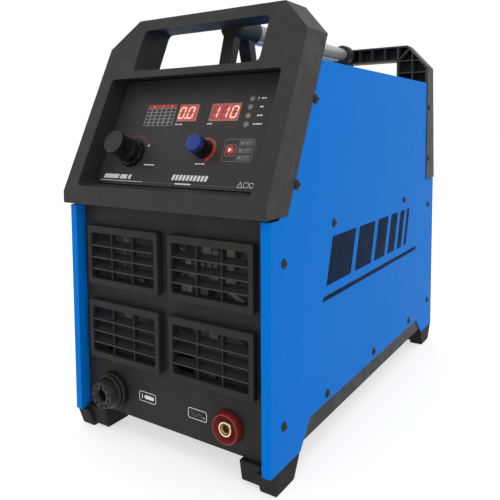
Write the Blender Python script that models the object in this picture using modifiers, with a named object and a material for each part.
"""Inverter plasma cutter power source: a tall steel case between two moulded end frames.

Places are written in millimetres in the case's own axes: X to the right seen from the front,
Y from the front flange to the back, Z up from the lower edge of the side panels. Every object is
then stood on the floor under its feet, centred on the world origin, in metres.
"""

import math

import bmesh
import bpy
from mathutils import Matrix, Vector

MM = 0.001
GAP = 0.3  # clearance between neighbouring pieces
WELD = 1e-6

# Driving dimensions, millimetres
CASE_HALF_WIDTH = 150.0
CASE_DEPTH = 588.0
CASE_TOP = 445.0
FOOT_HEIGHT = 25.0
FRONT_FRAME_BOTTOM = 274.0
FRAME_TOP = 513.5
FLANGE_WIDTH = 11.4
FRONT_PANEL_Y = 15.5
SHEET = 1.5
PANEL_SHEET = 2.5
BEND_RADIUS = 2.5

# The front frame leans back: its face moves back by LEAN for each millimetre of height
LEAN = 0.477
LEAN_ZERO_Z = 307.0
FRAME_DEPTH = 50.0
FASCIA_DEPTH = 32.0
REAR_FRAME_Y = 540.0
REAR_LEAN = 0.085

TUBE_RADIUS = 12.0
TUBE_Z = 502.0
TORCH = (-92.0, 33.3)
EARTH = (86.8, 34.4)

PRESSURE_KNOB = (-80.5, 335.5)
CURRENT_KNOB = (31.4, 341.2)
MODE_BUTTON = (69.0, 341.5)
PRESSURE_DISPLAY = (-9.5, 386.5, 31.0, 23.5)
CURRENT_DISPLAY = (46.8, 386.2, 43.0, 23.5)
LAMP_X = 81.2
LAMP_Z = (371.2, 381.2, 391.2, 401.2)
CELL_X = 88.0
CELL_Z = (333.8, 341.8, 349.8)

FAN_CENTRE = (-45.0, 150.0)
FAN_RADIUS = 68.0

# Middle of the whole object front to back, so that it stands centred on the origin
CENTRE_Y = 303.2

for leftover in list(bpy.data.objects):
    bpy.data.objects.remove(leftover)

PARTS = bpy.data.collections.new("plasma_cutter")
CUTTERS = bpy.data.collections.new("cutters")
bpy.context.scene.collection.children.link(PARTS)
bpy.context.scene.collection.children.link(CUTTERS)


def material(name, colour, roughness, metallic=0.0):
    made = bpy.data.materials.new(name)
    made.use_nodes = True
    shader = made.node_tree.nodes["Principled BSDF"]
    shader.inputs["Base Color"].default_value = (*colour, 1.0)
    shader.inputs["Roughness"].default_value = roughness
    shader.inputs["Metallic"].default_value = metallic
    return made


BLUE_PAINT = material("blue_paint", (0.016, 0.165, 0.56), 0.35)
GREY_PAINT = material("grey_paint", (0.048, 0.048, 0.045), 0.5)
FRAME_PLASTIC = material("frame_plastic", (0.062, 0.058, 0.055), 0.55)
PANEL_PLASTIC = material("panel_plastic", (0.026, 0.026, 0.027), 0.6)
FASCIA_FILM = material("fascia_film", (0.055, 0.05, 0.05), 0.45)
BLACK_PLASTIC = material("black_plastic", (0.015, 0.016, 0.015), 0.45)
RUBBER = material("rubber", (0.035, 0.034, 0.032), 0.75)
STEEL_TUBE = material("steel_tube", (0.28, 0.28, 0.24), 0.4)
DISPLAY_RED = material("display_red", (0.55, 0.11, 0.09), 0.25)
LAMP_CLEAR = material("lamp_clear", (0.3, 0.3, 0.29), 0.3)
BLUE_CAP = material("blue_cap", (0.026, 0.05, 0.27), 0.4)
RED_BUTTON = material("red_button", (0.42, 0.03, 0.03), 0.4)
RED_PLASTIC = material("red_plastic", (0.16, 0.012, 0.01), 0.4)
BRASS = material("brass", (0.67, 0.4, 0.15), 0.3, 1.0)
STEEL = material("steel", (0.5, 0.5, 0.5), 0.35, 1.0)
ALUMINIUM = material("aluminium", (0.6, 0.61, 0.62), 0.4, 1.0)
COPPER = material("copper", (0.6, 0.25, 0.12), 0.4, 1.0)
FERRITE = material("ferrite", (0.03, 0.03, 0.035), 0.6)
BOARD_GREEN = material("board_green", (0.02, 0.13, 0.05), 0.5)
HOSE_BLUE = material("hose_blue", (0.02, 0.08, 0.35), 0.4)


def place(x, y, z):
    """World point of a place given in the case's millimetres."""
    return Vector((x, y - CENTRE_Y, z + FOOT_HEIGHT)) * MM


def frame_face_y(z):
    """Y of the leaning front face at height z."""
    return LEAN * (z - LEAN_ZERO_Z)


def add_object(name, mesh, finish, matrix, collection=PARTS):
    made = bpy.data.objects.new(name, mesh)
    made.matrix_world = matrix
    mesh.materials.clear()
    mesh.materials.append(finish)
    collection.objects.link(made)
    if collection is CUTTERS:
        made.hide_render = True
        made.display_type = "WIRE"
    return made


def mesh_from(bm, name):
    mesh = bpy.data.meshes.new(name)
    bm.to_mesh(mesh)
    bm.free()
    return mesh


def box(name, low, high, finish=None, bevel=0.0, collection=PARTS):
    """A box between two corners, with its edges rounded by bevel."""
    size = Vector(high) - Vector(low)
    bm = bmesh.new()
    bmesh.ops.create_cube(bm, size=MM)
    bmesh.ops.scale(bm, vec=size, verts=bm.verts)
    middle = (Vector(low) + Vector(high)) / 2
    matrix = Matrix.Translation(place(*middle))
    made = add_object(name, mesh_from(bm, name), finish or FERRITE, matrix, collection)
    if bevel:
        round_edges(made, bevel)
    return made


def round_edges(made, width, segments=2):
    rounding = made.modifiers.new("rounded edges", "BEVEL")
    rounding.width = width * MM
    rounding.segments = segments
    rounding.limit_method = "ANGLE"


AXIS_TURNS = {
    "x": Matrix(((0, 0, 1), (1, 0, 0), (0, 1, 0))).to_4x4(),
    "y": Matrix(((1, 0, 0), (0, 0, -1), (0, 1, 0))).to_4x4(),
    "z": Matrix.Identity(4),
}


def slab(name, outlines, axis, start, end, finish=None, collection=PARTS):
    """A flat outline, with any holes in it, thickened along an axis from start to end.

    The outline's two coordinates are (Y, Z) along x, (X, Z) along y and (X, Y) along z.
    """
    curve = bpy.data.curves.new(name, "CURVE")
    curve.dimensions = "2D"
    curve.fill_mode = "BOTH"
    curve.extrude = abs(end - start) / 2 * MM
    for outline in outlines:
        spline = curve.splines.new("POLY")
        spline.points.add(len(outline) - 1)
        spline.use_cyclic_u = True
        for point, (u, v) in zip(spline.points, outline):
            point.co = (u * MM, v * MM, 0, 1)
    middle = (start + end) / 2
    origin = {"x": place(middle, 0, 0), "y": place(0, middle, 0), "z": place(0, 0, middle)}[axis]
    return solid_from_curve(name, curve, Matrix.Translation(origin) @ AXIS_TURNS[axis], finish, collection)


def solid_from_curve(name, curve, matrix, finish, collection=PARTS):
    """The curve as a closed mesh object, its caps welded to its sides."""
    guide = bpy.data.objects.new(name + " guide", curve)
    guide.matrix_world = matrix
    bpy.context.scene.collection.objects.link(guide)
    graph = bpy.context.evaluated_depsgraph_get()
    mesh = bpy.data.meshes.new_from_object(guide.evaluated_get(graph))
    bm = bmesh.new()
    bm.from_mesh(mesh)
    bmesh.ops.remove_doubles(bm, verts=bm.verts, dist=WELD)
    bmesh.ops.recalc_face_normals(bm, faces=bm.faces)
    bm.to_mesh(mesh)
    bm.free()
    bpy.data.objects.remove(guide)
    return add_object(name, mesh, finish or FERRITE, matrix, collection)


def lean(made, slope, from_z, depth_limit=None):
    """Shears a piece back by slope with height. With depth_limit, only the part behind that Y moves."""
    to_world = made.matrix_world
    from_world = to_world.inverted()
    for vertex in made.data.vertices:
        spot = to_world @ vertex.co
        if depth_limit is None or spot.y > (depth_limit - CENTRE_Y) * MM:
            spot.y += slope * (spot.z - (from_z + FOOT_HEIGHT) * MM)
            vertex.co = from_world @ spot
    return made


def turned(name, profile, matrix, finish, steps=24, collection=PARTS):
    """A round piece: (radius, height) points down its outer side, spun about its own Z."""
    bm = bmesh.new()
    points = [bm.verts.new((radius * MM, 0, height * MM)) for radius, height in profile]
    closed = profile[0][0] > 0
    loop = points + points[:1] if closed else points
    for first, second in zip(loop, loop[1:]):
        bm.edges.new((first, second))
    made = add_object(name, mesh_from(bm, name), finish, matrix, collection)
    spin = made.modifiers.new("turned", "SCREW")
    spin.steps = spin.render_steps = steps
    spin.use_merge_vertices = True
    spin.merge_threshold = 1e-5
    return made


def facing_front(x, y, z):
    """Matrix of a round piece whose own Z looks out of the front, from (x, y, z)."""
    return Matrix.Translation(place(x, y, z)) @ Matrix.Rotation(math.pi / 2, 4, "X")


def facing_back(x, y, z):
    return Matrix.Translation(place(x, y, z)) @ Matrix.Rotation(-math.pi / 2, 4, "X")


def on_fascia(x, z):
    """Matrix on the control panel's face: own Z out of it, own Y up along it."""
    spot = place(x, frame_face_y(z) + FASCIA_DEPTH, z)
    return Matrix.Translation(spot) @ Matrix.Rotation(math.atan2(1, LEAN), 4, "X")


def applied(made):
    """Replaces a piece's mesh by the result of its modifiers."""
    bpy.context.view_layer.update()
    graph = bpy.context.evaluated_depsgraph_get()
    mesh = bpy.data.meshes.new_from_object(made.evaluated_get(graph))
    made.modifiers.clear()
    made.data = mesh
    return made


def combine(made, operation, others):
    for other in others:
        joint = made.modifiers.new(operation.lower(), "BOOLEAN")
        joint.operation = operation
        joint.object = other
    return made


def cut(made, *cutters):
    return combine(made, "DIFFERENCE", cutters)


def join(made, *others):
    return combine(made, "UNION", others)


def mirrored(source, name):
    """A left-hand copy of a right-hand piece."""
    bpy.context.view_layer.update()
    graph = bpy.context.evaluated_depsgraph_get()
    mesh = bpy.data.meshes.new_from_object(source.evaluated_get(graph))
    mesh.transform(Matrix.Scale(-1, 4, (1, 0, 0)) @ source.matrix_world)
    mesh.flip_normals()
    return add_object(name, mesh, source.data.materials[0], Matrix.Identity(4))


def rectangle(u0, v0, u1, v1):
    return [(u0, v0), (u1, v0), (u1, v1), (u0, v1)]


def rounded(u0, v0, u1, v1, radius, steps=3):
    """A rectangle outline with round corners."""
    corners = ((u1 - radius, v1 - radius, 0), (u0 + radius, v1 - radius, 90),
               (u0 + radius, v0 + radius, 180), (u1 - radius, v0 + radius, 270))
    return [
        (u + radius * math.cos(math.radians(turn + 90 * i / steps)),
         v + radius * math.sin(math.radians(turn + 90 * i / steps)))
        for u, v, turn in corners for i in range(steps + 1)
    ]


def circle(u, v, radius, steps=24):
    return [
        (u + radius * math.cos(math.tau * i / steps), v + radius * math.sin(math.tau * i / steps))
        for i in range(steps)
    ]


# ---------------------------------------------------------------- case

def side_panel():
    """Right-hand side panel: a plate with an arch between the feet, and a box-shaped front flange."""
    behind_frame = FRAME_DEPTH + 0.6
    plate = [
        (3, 0), (66, 0), (91, 30.3), (498, 30.3), (528, 0), (CASE_DEPTH, 0),
        (CASE_DEPTH, 275), (REAR_FRAME_Y - 0.6, 275), (REAR_FRAME_Y - 0.6, CASE_TOP),
        (frame_face_y(CASE_TOP) + behind_frame, CASE_TOP),
        (frame_face_y(FRONT_FRAME_BOTTOM + 2) + behind_frame, FRONT_FRAME_BOTTOM - GAP),
        (20, FRONT_FRAME_BOTTOM - GAP), (20, 271), (3, 271),
    ]
    outer = CASE_HALF_WIDTH
    inner = outer - FLANGE_WIDTH
    turns = [math.radians(degrees) for degrees in (0, 30, 60, 90)]
    bend = [
        (outer - BEND_RADIUS * (1 - math.cos(turn)), BEND_RADIUS * (1 - math.sin(turn))) for turn in turns
    ]
    flange = bend + [
        (inner, 0), (inner, FRONT_PANEL_Y - GAP), (inner + SHEET, FRONT_PANEL_Y - GAP),
        (inner + SHEET, SHEET), (outer - SHEET, SHEET), (outer - SHEET, 8), (outer, 8),
    ]
    panel = slab("side_panel_right", [plate], "x", outer - SHEET, outer, BLUE_PAINT)
    edge = slab("side panel flange", [flange], "z", 0, 271, BLUE_PAINT, CUTTERS)
    applied(join(panel, edge))
    return mirrored(panel, "side_panel_left")


def top_cover():
    edge = CASE_HALF_WIDTH - SHEET - GAP
    front = frame_face_y(CASE_TOP) + FRAME_DEPTH + 1
    low, high = CASE_TOP - 2.2, CASE_TOP - 0.7
    return box("top_cover", (-edge, front, low), (edge, REAR_FRAME_Y - 1, high), BLUE_PAINT)


def base_tray():
    """Folded floor of the case; its side rails show in the arch of the side panels."""
    outer = CASE_HALF_WIDTH - SHEET - GAP
    inner = outer - SHEET
    outline = [
        (-outer, 8), (outer, 8), (outer, 60), (inner, 60), (inner, 9.5),
        (-inner, 9.5), (-inner, 60), (-outer, 60),
    ]
    return slab("base_tray", [outline], "y", FRONT_PANEL_Y + PANEL_SHEET + GAP, 582, GREY_PAINT)


def feet():
    """Four feet. Each has a deep outer block under the side panel and a shallower inner block."""
    top = -GAP
    neck_top = 8 - GAP
    for end, deep, shallow in (
        ("front", [(3, top), (12, -25), (51, -25), (65, top)],
         [(18.8, neck_top), (18.8, 4.4), (9, 4.4), (14, -21), (49, -21), (66, neck_top)]),
        ("rear", [(528, top), (533, -25), (572, -25), (586, top)],
         [(524, neck_top), (535, -21), (568, -21), (584, 4.4), (581, neck_top)]),
    ):
        outer = slab("outer block", [deep], "x", 129, CASE_HALF_WIDTH, RUBBER, CUTTERS)
        foot = slab(f"foot_{end}_right", [shallow], "x", 104, CASE_HALF_WIDTH - SHEET - 2 * GAP, RUBBER)
        ahead, behind = deep[0][0] - 10, deep[-1][0] + 10
        cut(foot, box("panel clearance", (137, ahead, top), (152, behind, 9), collection=CUTTERS))
        applied(join(foot, outer))
        mirrored(foot, f"foot_{end}_left")


LOUVRE_X = (7.5, 125.5)
LOUVRE_ROWS = {"upper": (170.0, 245.5), "lower": (74.5, 149.8)}
LOUVRE_Y = 5.8
LOUVRE_SIDE = 6.5
LOUVRE_TOP = 9.0
LOUVRE_BOTTOM = 8.0
LOUVRE_SLOPE = -0.5


def louvre_cells(low_z, high_z):
    """(x0, z0, x1, z1) of the twelve cells, three across and four high."""
    bar = 1.8
    blade = 1.9
    width = (LOUVRE_X[1] - LOUVRE_X[0] - 2 * LOUVRE_SIDE - 2 * bar) / 3
    height = (high_z - low_z - LOUVRE_TOP - LOUVRE_BOTTOM - 3 * blade) / 4
    for column in range(3):
        for row in range(4):
            x = LOUVRE_X[0] + LOUVRE_SIDE + column * (width + bar)
            z = low_z + LOUVRE_BOTTOM + row * (height + blade)
            yield x, z, x + width, z + height


def louvres():
    """Four air outlets that stand proud of the front panel, with blades that slope down to the front."""
    back = FRONT_PANEL_Y - GAP
    for row, (low_z, high_z) in LOUVRE_ROWS.items():
        name = f"louvre_{row}_right"
        outline = rounded(LOUVRE_X[0], low_z, LOUVRE_X[1], high_z, 2)
        block = slab(name, [outline], "y", LOUVRE_Y, back, PANEL_PLASTIC)
        cells = [rectangle(*cell) for cell in louvre_cells(low_z, high_z)]
        openings = slab("louvre cells", cells, "y", LOUVRE_Y - 2, back + 2, None, CUTTERS)
        for vertex in openings.data.vertices:
            # The cutter's own Z points out of the front and its own Y up, so the blades drop to the front
            vertex.co.y += LOUVRE_SLOPE * vertex.co.z
        cut(block, openings)
        applied(block)
        mirrored(block, f"louvre_{row}_left")


def front_panel():
    """Moulded panel between the flanges, with openings behind the louvres and two socket holes."""
    edge = CASE_HALF_WIDTH - FLANGE_WIDTH + SHEET - GAP
    outlines = [rectangle(-edge + 1.2, 5, edge - 1.2, FRONT_FRAME_BOTTOM - GAP)]
    for low_z, high_z in LOUVRE_ROWS.values():
        for side in (-1, 1):
            edges = (side * (LOUVRE_X[0] + LOUVRE_SIDE), side * (LOUVRE_X[1] - LOUVRE_SIDE))
            outlines.append(rounded(min(edges), low_z + LOUVRE_BOTTOM, max(edges), high_z - 4, 3))
    outlines.append(circle(*TORCH, 15.5, 32))
    outlines.append(circle(*EARTH, 11.5, 32))
    return slab("front_panel", outlines, "y", FRONT_PANEL_Y, FRONT_PANEL_Y + PANEL_SHEET, PANEL_PLASTIC)


# ---------------------------------------------------------------- moulded end frames

def frame_outline(half_width, shoulder, top, bottom, chamfer_bottom):
    """Outline of an end frame seen from the front: chamfered top corners, small bottom chamfers."""
    right = [
        (half_width - chamfer_bottom, bottom), (half_width, bottom + chamfer_bottom),
        (half_width, shoulder), (half_width - 38, top),
    ]
    return right + [(-x, z) for x, z in reversed(right)]


FRONT_SHOULDER = 476.0
REAR_SHOULDER = 472.0
WINDOW = (-97.5, 442.0, 97.5, 498.0)
RECESS = (-130.0, 296.6, 130.0, 433.0)
RIDGE_Z = 289.0


def front_frame():
    """The leaning frame that holds the control panel, with a grip window over it."""
    half = CASE_HALF_WIDTH + 1.5
    outline = frame_outline(half, FRONT_SHOULDER, FRAME_TOP, FRONT_FRAME_BOTTOM, 1.0)
    frame = slab("front_frame", [outline], "y", 0, FRAME_DEPTH, FRAME_PLASTIC)
    lean(frame, LEAN, LEAN_ZERO_Z)
    below_ridge = frame_face_y(RIDGE_Z)
    holes = [rounded(*WINDOW, 6), rounded(*RECESS, 5)]
    openings = slab("grip window", holes, "y", -5, FRAME_DEPTH + 5, None, CUTTERS)
    lean(openings, LEAN, LEAN_ZERO_Z)
    lower_front = box("lower front", (-200, -80, 200), (200, below_ridge, RIDGE_Z), collection=CUTTERS)
    rear_hollow = slab("rear hollow", [
        rectangle(134, 300, 147, 470), rectangle(-147, 300, -134, 470),
        rectangle(101.5, 445, 133, 466), rectangle(-133, 445, -101.5, 466),
        rectangle(-100, 502, 100, 509.5),
    ], "y", 5, FRAME_DEPTH + 5, None, CUTTERS)
    lean(rear_hollow, LEAN, LEAN_ZERO_Z)
    under = box("room behind the front panel", (-147, FRONT_PANEL_Y - 1, 270), (147, 80, 279),
                collection=CUTTERS)
    cut(frame, openings, lower_front, rear_hollow)
    cut(frame, under)
    return applied(frame)


def rear_frame():
    """Upright frame over the back panel, open towards the front and stiffened by ribs."""
    half = CASE_HALF_WIDTH + 1.5
    outline = frame_outline(half, REAR_SHOULDER, FRAME_TOP, 275.6, 1.0)
    frame = slab("rear_frame", [outline], "y", REAR_FRAME_Y, CASE_DEPTH, FRAME_PLASTIC)
    lean(frame, -REAR_LEAN, 275, (REAR_FRAME_Y + CASE_DEPTH) / 2)
    opening = rounded(-95, 442, 95, 487, 4)
    window = slab("rear grip window", [opening], "y", REAR_FRAME_Y - 5, CASE_DEPTH + 5, None, CUTTERS)
    pockets = []
    wall = 3.0
    rib = 1.6
    bar_cells = 8
    bar_width = (190 - (bar_cells - 1) * rib) / bar_cells
    for i in range(bar_cells):
        x = -95 + i * (bar_width + rib)
        pockets.append(rectangle(x, 487 + wall, x + bar_width, FRAME_TOP - wall))
    for side in (-1, 1):
        def across(points):
            return [(side * x, z) for x, z in points]
        pockets.append(across([(98.5, 490), (116, 508), (112, FRAME_TOP - wall), (98.5, FRAME_TOP - wall)]))
        pockets.append(across([(99.5, 487.5), (122, 487.5), (122, 500.5), (117.5, 505.5)]))
        pockets.append(across([(124, 487.5), (134.5, 487.5), (124, 498.5)]))
        for x0, x1 in ((98.5, 122), (124, 146.5)):
            for z0, z1 in ((466, 485.5), (444, 464), (360, 442), (282, 358)):
                outline = rectangle(x0, z0, x1, z1)
                if z0 == 466 and x0 == 124:
                    outline = [(124, z0), (146.5, z0), (146.5, REAR_SHOULDER), (134, 485.5), (124, 485.5)]
                pockets.append(across(outline))
    pockets.append(rectangle(-95, 282, 95, 438))
    hollows = slab("rib pockets", pockets, "y", REAR_FRAME_Y - 5, REAR_FRAME_Y + 26, None, CUTTERS)
    return applied(cut(frame, window, hollows))


# ---------------------------------------------------------------- carrying handle

def handle():
    front_y = 156.0
    tube = bpy.data.curves.new("handle_tube", "CURVE")
    tube.dimensions = "3D"
    tube.bevel_depth = TUBE_RADIUS * MM
    tube.bevel_resolution = 4
    tube.use_fill_caps = True
    spline = tube.splines.new("POLY")
    spline.points.add(1)
    for point, y in zip(spline.points, (front_y + GAP, 531.0)):
        point.co = (0, y * MM, 0, 1)
    solid_from_curve("handle_tube", tube, Matrix.Translation(place(0, 0, TUBE_Z)), STEEL_TUBE)

    bore = TUBE_RADIUS + GAP
    bracket = turned("handle_front_bracket", [(0, 56), (15, 56), (17, 54), (17, 2), (15, 0), (0, 0)],
                     facing_back(0, 150, TUBE_Z), FRAME_PLASTIC)
    blind_bore = turned("bracket bore", [(0, 70), (bore, 70), (bore, 6), (0, 6)],
                        facing_back(0, 150, TUBE_Z), FERRITE, collection=CUTTERS)
    legs = []
    for name, outline in (
        ("front leg", [(133, CASE_TOP), (147, CASE_TOP), (165, 497), (149, 497)]),
        ("rear leg", [(192, CASE_TOP), (206, CASE_TOP), (194, 494), (178, 494)]),
        ("bracket foot", [(131, CASE_TOP - GAP), (210, CASE_TOP - GAP), (210, 449), (131, 449)]),
    ):
        legs.append(slab(name, [outline], "x", -9, 9, FRAME_PLASTIC, CUTTERS))
    join(bracket, *legs)
    cut(bracket, blind_bore)
    applied(bracket)

    collar = turned("handle_rear_collar", [
        (0, 29), (14, 29), (14, 18), (17.5, 18), (17.5, 2), (16, 0), (0, 0),
    ], facing_back(0, 510, TUBE_Z), FRAME_PLASTIC)
    collar_bore = turned("collar bore", [(0, 21.5), (bore, 21.5), (bore, -5), (0, -5)],
                         facing_back(0, 510, TUBE_Z), FERRITE, collection=CUTTERS)
    outline = [(-16, CASE_TOP - GAP), (16, CASE_TOP - GAP), (16, 450), (11, 492), (-11, 492), (-16, 450)]
    foot = slab("saddle foot", [outline], "y", 512, 538, FRAME_PLASTIC, CUTTERS)
    join(collar, foot)
    cut(collar, collar_bore)
    applied(collar)

    strap_top = TUBE_Z - TUBE_RADIUS - GAP
    box("handle_strap", (-8, 206.5, strap_top - 3), (8, 480, strap_top), STEEL_TUBE, 0.8)


# ---------------------------------------------------------------- control panel

def control_panel():
    slope = math.hypot(1, LEAN)
    centre_z = (RECESS[1] + RECESS[3]) / 2
    half_width = RECESS[2] - 0.5
    half_height = (RECESS[3] - RECESS[1]) / 2 * slope - 1.4

    def spot(x, z):
        return x, (z - centre_z) * slope

    outlines = [rounded(-half_width, -half_height, half_width, half_height, 5)]
    for x, z, width, height in (PRESSURE_DISPLAY, CURRENT_DISPLAY):
        u, v = spot(x, z)
        across, up = width / 2 + GAP, height / 2 + GAP
        outlines.append(rectangle(u - across, v - up, u + across, v + up))
    outlines += [circle(*spot(LAMP_X, z), 2.8, 12) for z in LAMP_Z]
    for z in CELL_Z:
        u, v = spot(CELL_X, z)
        outlines.append(rectangle(u - 9, v - 3, u + 9, v + 3))
    outlines.append(circle(*spot(*PRESSURE_KNOB), 7.5, 24))
    outlines.append(circle(*spot(*CURRENT_KNOB), 4.0, 16))
    outlines.append(circle(*spot(*MODE_BUTTON), 6.6, 24))
    thickness = 2.0
    panel = slab("control_panel", outlines, "z", -thickness, 0, FASCIA_FILM)
    panel.matrix_world = on_fascia(0, centre_z) @ Matrix.Translation((0, 0, -thickness / 2 * MM))


def fascia_block(name, x, z, width, height, low, high, finish, radius=0.6, collection=PARTS):
    """A block set square in the control panel, from low to high along the panel's normal."""
    outline = rounded(-width / 2, -height / 2, width / 2, height / 2, radius)
    block = slab(name, [outline], "z", low, high, finish, collection)
    block.matrix_world = on_fascia(x, z) @ Matrix.Translation((0, 0, (low + high) / 2 * MM))
    return block


def displays():
    windows = {"pressure_display": PRESSURE_DISPLAY, "current_display": CURRENT_DISPLAY}
    for name, (x, z, width, height) in windows.items():
        fascia_block(name, x, z, width, height, -9, -0.2, DISPLAY_RED)


def light_guides():
    """Four status lamps and three mode cells, each group moulded in one piece behind the panel."""
    low_z, high_z = LAMP_Z[0], LAMP_Z[-1]
    slope = math.hypot(1, LEAN)
    middle = (low_z + high_z) / 2
    height = (high_z - low_z) * slope + 8
    lamps = fascia_block("status_lamps", LAMP_X, middle, 8, height, -6, -2.4, LAMP_CLEAR)
    dome = [(0, 0.9), (1.6, 0.7), (2.5, 0), (2.5, -4), (0, -4)]
    domes = [turned("lamp", dome, on_fascia(LAMP_X, z), LAMP_CLEAR, 12, CUTTERS) for z in LAMP_Z]
    applied(join(lamps, *domes))
    height = (CELL_Z[2] - CELL_Z[0]) * slope + 8
    cells = fascia_block("mode_lamps", CELL_X, CELL_Z[1], 20, height, -6, -2.4, LAMP_CLEAR)
    faces = [
        fascia_block("mode cell", CELL_X, z, 17.4, 5.4, -4, -0.2, LAMP_CLEAR, 0.6, CUTTERS) for z in CELL_Z
    ]
    applied(join(cells, *faces))


def knobs():
    """Pressure knob on its panel nut, current knob with a cap, and the mode button."""
    turned("pressure_knob", [
        (0, 38.5), (13.4, 38.4), (14.4, 37.4), (14.4, 35.6), (13.9, 34.8), (13.9, 16.4), (15, 14.8),
        (15, 10), (4, 10), (4, -9), (0, -9),
    ], on_fascia(*PRESSURE_KNOB), BLACK_PLASTIC)
    nut = turned("pressure_knob_nut", [
        (17.5, 6), (18.5, 4.5), (18.5, GAP), (4.6, GAP), (4.6, 9), (14.5, 9), (14.5, 6),
    ], on_fascia(*PRESSURE_KNOB), BLACK_PLASTIC)
    notches = 10
    around = []
    for i in range(notches):
        turn = math.tau * i / notches
        around.append([
            (u * math.cos(turn) - v * math.sin(turn), u * math.sin(turn) + v * math.cos(turn))
            for u, v in rectangle(16.2, -1.6, 22, 1.6)
        ])
    grooves = slab("nut grooves", around, "z", 1.5, 12, None, CUTTERS)
    grooves.matrix_world = on_fascia(*PRESSURE_KNOB) @ Matrix.Translation((0, 0, 6.75 * MM))
    applied(nut)
    applied(cut(nut, grooves))
    turned("current_knob", [
        (0, 20.8), (10.1, 20.8), (10.1, 22.6), (10.7, 22.6), (11, 21.8), (11.2, 1), (3, 1), (3, -8), (0, -8),
    ], on_fascia(*CURRENT_KNOB), BLACK_PLASTIC)
    turned("current_knob_cap", [(0, 25), (8.8, 24.8), (9.7, 23.8), (9.8, 21.1), (0, 21.1)],
           on_fascia(*CURRENT_KNOB), BLUE_CAP)
    turned("mode_button", [(0, 1.6), (5.2, 1.5), (6.1, 0.8), (6.2, -3), (0, -3)], on_fascia(*MODE_BUTTON),
           RED_BUTTON)


# ---------------------------------------------------------------- sockets

def torch_socket():
    """Central torch connector: pilot holes and a keyway in a ring round the gas and current bore."""
    face_y = -8.5
    matrix = facing_front(TORCH[0], face_y, TORCH[1])
    body = turned("torch_socket_body", [
        (16.4, 0), (17.2, -1), (19.6, -10), (19.6, -12.5), (21, -13), (21, -15), (15, -15), (15, -45),
        (8.6, -45), (8.6, 0),
    ], matrix, BLACK_PLASTIC)
    pins = 9
    pin_circle = 13.2
    turns = [math.radians(90) + math.tau * (i + 1) / (pins + 1) for i in range(pins)]
    ring = [circle(pin_circle * math.cos(turn), pin_circle * math.sin(turn), 2.1, 10) for turn in turns]
    ring.append(rectangle(-1.8, 7, 1.8, 14.4))
    holes = slab("pilot holes", ring, "z", -10, 4, None, CUTTERS)
    holes.matrix_world = matrix @ Matrix.Translation((0, 0, -3 * MM))
    applied(body)
    applied(cut(body, holes))
    nut = turned("torch_socket_nut", [
        (22.6, -15.4), (23.6, -16.4), (23.6, -22.8), (22.8, -23.7), (15.4, -23.7), (15.4, -15.4),
    ], matrix, BLACK_PLASTIC)
    applied(nut)
    contact = turned("torch_socket_contact", [
        (0, -14), (3.2, -14), (3.2, -12), (8, -12), (8, -60), (0, -60),
    ], matrix, BRASS)
    applied(contact)


def earth_socket():
    """Bayonet socket for the earth clamp: a plastic shroud round a brass insert with a key slot."""
    matrix = facing_front(EARTH[0], 5.8, EARTH[1])
    turned("earth_socket_body", [
        (16.6, 0), (17.6, -1.2), (19.2, -7.5), (19.2, -9.4), (11, -9.4), (11, -24), (8.4, -24), (8.4, -4.5),
        (15.6, -3.2), (15.6, 0),
    ], matrix, RED_PLASTIC)
    insert = turned("earth_socket_insert", [
        (7, -1.5), (8, -2.5), (8, -40), (0, -40), (0, -28), (5, -28), (5, -1.5),
    ], matrix, BRASS)
    key = slab("key slot", [rectangle(-1.5, 0, 1.5, 6.9)], "z", -20, 3, None, CUTTERS)
    to_upper_right = Matrix.Rotation(math.radians(-45), 4, "Z")
    key.matrix_world = matrix @ to_upper_right @ Matrix.Translation((0, 0, -8.5 * MM))
    cut(insert, key)
    applied(insert)


# ---------------------------------------------------------------- back of the case

REAR_PANEL_Y = 583.0
REAR_FACE_Y = REAR_PANEL_Y + 2.0
SWITCH = (85.0, 215.0)
GLAND = (85.0, 130.0)
AIR_INLET = (85.0, 62.0)
EARTH_STUD = (125.0, 30.0)


def rear_panel():
    edge = CASE_HALF_WIDTH - SHEET - 2 * GAP
    outlines = [
        rectangle(-edge, 10, edge, 275), circle(*FAN_CENTRE, FAN_RADIUS + 3, 40),
        rectangle(SWITCH[0] - 17.5, SWITCH[1] - 22.5, SWITCH[0] + 17.5, SWITCH[1] + 22.5),
        circle(*GLAND, 10, 24), circle(*AIR_INLET, 7.5, 20), circle(*EARTH_STUD, 4.4, 16),
    ]
    return slab("rear_panel", outlines, "y", REAR_PANEL_Y, REAR_FACE_Y, GREY_PAINT)


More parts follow.
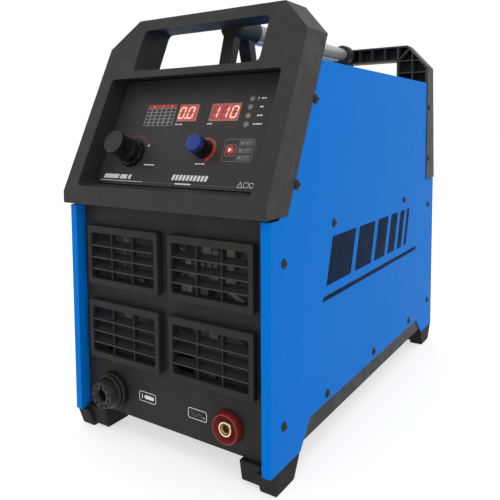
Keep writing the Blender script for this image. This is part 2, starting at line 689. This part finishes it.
def fan():
    x, z = FAN_CENTRE
    half = FAN_RADIUS + 8
    front = 545.0
    back = REAR_PANEL_Y - GAP
    outlines = [rounded(x - half, z - half, x + half, z + half, 10), circle(x, z, FAN_RADIUS + 2, 40)]
    housing = slab("fan_housing", outlines, "y", front, back, BLACK_PLASTIC)
    spider = [
        slab("motor mount", [circle(x, z, 21, 24)], "y", front, front + 3, None, CUTTERS),
        box("mount arm", (x - half + 2, front, z - 3), (x + half - 2, front + 3, z + 3), collection=CUTTERS),
        box("mount arm", (x - 3, front, z - half + 2), (x + 3, front + 3, z + half - 2), collection=CUTTERS),
    ]
    applied(join(housing, *spider))

    hub_front = front + 4.0
    hub_profile = [(0, 26), (18, 26), (21, 23), (21, 0), (0, 0)]
    rotor = turned("fan_rotor", hub_profile, facing_back(x, hub_front, z), BLACK_PLASTIC, 28)
    blades = []
    count = 7
    for i in range(count):
        blade = box("blade", (x - 12, hub_front + 12, z + 18), (x + 12, hub_front + 14, z + FAN_RADIUS - 1),
                    collection=CUTTERS)
        turn = Matrix.Rotation(math.tau * i / count, 4, "Y")
        spin = Matrix.Translation(place(x, hub_front + 13, z)) @ turn
        radius = (18 + FAN_RADIUS - 1) / 2
        pitch = Matrix.Rotation(math.radians(35), 4, "Z")
        blade.matrix_world = spin @ Matrix.Translation((0, 0, radius * MM)) @ pitch
        blades.append(blade)
    applied(join(rotor, *blades))

    rings = [circle(x, z, FAN_RADIUS + 6, 32)]
    for radius in (64, 61.5, 52, 49.5, 40, 37.5, 28, 25.5):
        rings.append(circle(x, z, radius, 24))
    guard = slab("fan_guard", rings, "y", REAR_FACE_Y + GAP, REAR_FACE_Y + 2.5, BLACK_PLASTIC)
    bars = []
    for turn in (45, 135):
        bar = box("guard bar", (x - 66, REAR_FACE_Y + GAP, z - 2), (x + 66, REAR_FACE_Y + 2.5, z + 2),
                  collection=CUTTERS)
        bar.matrix_world = bar.matrix_world @ Matrix.Rotation(math.radians(turn), 4, "Y")
        bars.append(bar)
    hub = slab("guard hub", [circle(x, z, 17, 24)], "y", REAR_FACE_Y + GAP, REAR_FACE_Y + 2.5, None, CUTTERS)
    applied(join(guard, *bars, hub))


def power_switch():
    """Circuit breaker set in the back panel, with a lever on a crosswise pivot."""
    x, z = SWITCH
    pivot_y = 582.0
    housing = box("power_switch_housing", (x - 17, 548, z - 22), (x + 17, 591, z + 22), BLACK_PLASTIC)
    bezel = box("switch bezel", (x - 21, REAR_FACE_Y + GAP, z - 26), (x + 21, 588.5, z + 26),
                collection=CUTTERS)
    slot = box("lever slot", (x - 6.5, 568, z - 15), (x + 6.5, 600, z + 15), collection=CUTTERS)
    applied(cut(join(housing, bezel), slot))
    rest = 28
    spread = range(60, 301, 20)
    hub = 9.0
    outline = [(hub * math.cos(math.radians(a)), hub * math.sin(math.radians(a))) for a in spread]
    outline += [(23, -3), (24.5, 0), (23, 3)]
    lever = slab("power_switch_lever", [outline], "x", -6, 6, BLACK_PLASTIC)
    raised = Matrix.Rotation(math.radians(rest), 4, "X")
    lever.matrix_world = Matrix.Translation(place(x, pivot_y, z)) @ raised @ AXIS_TURNS["x"]


def rear_fittings():
    turned("cable_gland", [
        (9, 27), (11.5, 24), (13, 16), (13, 8), (16, 7.5), (16, GAP), (9.6, GAP), (9.6, -9), (6.5, -9),
        (6.5, 27),
    ], facing_back(GLAND[0], REAR_FACE_Y, GLAND[1]), BLACK_PLASTIC)
    turned("air_inlet", [
        (4.2, 30), (5.4, 26), (4.6, 25.6), (5.4, 20), (4.6, 19.6), (5.4, 14), (5.4, 12), (11, 11), (11, GAP),
        (7.2, GAP), (7.2, -12), (3, -12), (3, 30),
    ], facing_back(AIR_INLET[0], REAR_FACE_Y, AIR_INLET[1]), BRASS, 20)
    turned("earth_stud", [
        (0, 15), (3.4, 15), (4, 14), (4, 7), (6.8, 6.5), (6.8, 2), (8.5, 2), (8.5, GAP), (4, GAP), (4, -6),
        (0, -6),
    ], facing_back(EARTH_STUD[0], REAR_FACE_Y, EARTH_STUD[1]), STEEL, 20)


# ---------------------------------------------------------------- inside the case

DECK_Z = 172.0


def heatsink(name, low_x, high_x):
    """Aluminium extrusion with its fins up under the main board."""
    base_z = DECK_Z + SHEET + GAP
    base_top = base_z + 8
    fin_top = 232.0
    fins = 8
    fin = 3.0
    pitch = (high_x - low_x - fin) / (fins - 1)
    outline = [(high_x, base_z), (low_x, base_z)]
    for i in range(fins):
        x = low_x + i * pitch
        outline += [(x, fin_top), (x + fin, fin_top)]
        if i < fins - 1:
            outline += [(x + fin, base_top), (x + pitch, base_top)]
    return slab(name, [outline[::-1]], "y", 150, 420, ALUMINIUM)


def electronics():
    edge = CASE_HALF_WIDTH - SHEET - 2 * GAP
    slab("internal_deck", [[
        (-edge, DECK_Z), (-edge, DECK_Z - 20), (-edge + SHEET, DECK_Z - 20), (-edge + SHEET, DECK_Z),
        (edge - SHEET, DECK_Z), (edge - SHEET, DECK_Z - 20), (edge, DECK_Z - 20), (edge, DECK_Z),
        (edge, DECK_Z + SHEET), (-edge, DECK_Z + SHEET),
    ]], "y", 120, 500, STEEL)
    heatsink("heatsink_left", -118, -22)
    heatsink("heatsink_right", 22, 118)
    box("main_board", (-125, 130, 234), (125, 470, 236), BOARD_GREEN)
    bank = box("capacitor_bank", (-60, 160, 236 + GAP), (60, 215, 240), BLACK_PLASTIC)
    can = [(0, 45), (15, 45), (17, 43), (17, 0), (0, 0)]
    cans = [
        turned("capacitor", can, Matrix.Translation(place(x, 187, 238)), BLACK_PLASTIC, 20, CUTTERS)
        for x in (-40, 0, 40)
    ]
    applied(join(bank, *cans))

    core_y = (215, 270)
    core = [rectangle(-115, 12, -15, 102), rectangle(-101, 27, -79, 87), rectangle(-51, 27, -29, 87)]
    slab("transformer_core", core, "y", *core_y, FERRITE)
    slab("transformer_winding", [
        rounded(-100.5, core_y[0] - 20, -29.5, core_y[1] + 20, 12),
        rectangle(-79 - GAP, core_y[0] - GAP, -51 + GAP, core_y[1] + GAP),
    ], "z", 27 + GAP, 87 - GAP, COPPER)
    turned("output_choke", [(43, 55), (47, 50), (47, 5), (43, 0), (21, 0), (17, 5), (17, 50), (21, 55)],
           Matrix.Translation(place(48, 300, 12)), COPPER, 28)
    fascia_block("control_board", 45, 370, 150, 110, -14, -12.4, BOARD_GREEN, 2)


def air_system():
    fascia_block("air_regulator", *PRESSURE_KNOB, 42, 42, -48, -10.5, ALUMINIUM, 4)
    valve = box("solenoid_valve", (2, 62, 12), (34, 102, 44), BRASS, 1.0)
    coil = box("valve coil", (5, 66, 43), (31, 98, 82), collection=CUTTERS)
    applied(join(applied(valve), coil))
    hose = bpy.data.curves.new("air_hose", "CURVE")
    hose.dimensions = "3D"
    hose.bevel_depth = 4.5 * MM
    hose.bevel_resolution = 2
    hose.use_fill_caps = True
    route = [(85, 572.5, 62), (85, 556, 62), (92, 542, 55), (104, 532, 40), (116, 515, 30), (120, 490, 28),
             (120, 160, 28), (115, 130, 28), (100, 105, 28), (80, 90, 28), (60, 83, 28), (34 + GAP, 82, 28)]
    spline = hose.splines.new("POLY")
    spline.points.add(len(route) - 1)
    for point, (x, y, z) in zip(spline.points, route):
        point.co = (x * MM, y * MM, z * MM, 1)
    solid_from_curve("air_hose", hose, Matrix.Translation(place(0, 0, 0)), HOSE_BLUE)


side_panel()
top_cover()
base_tray()
feet()
louvres()
front_panel()
front_frame()
rear_frame()
handle()
control_panel()
displays()
light_guides()
knobs()
torch_socket()
earth_socket()
rear_panel()
fan()
power_switch()
rear_fittings()
electronics()
air_system()
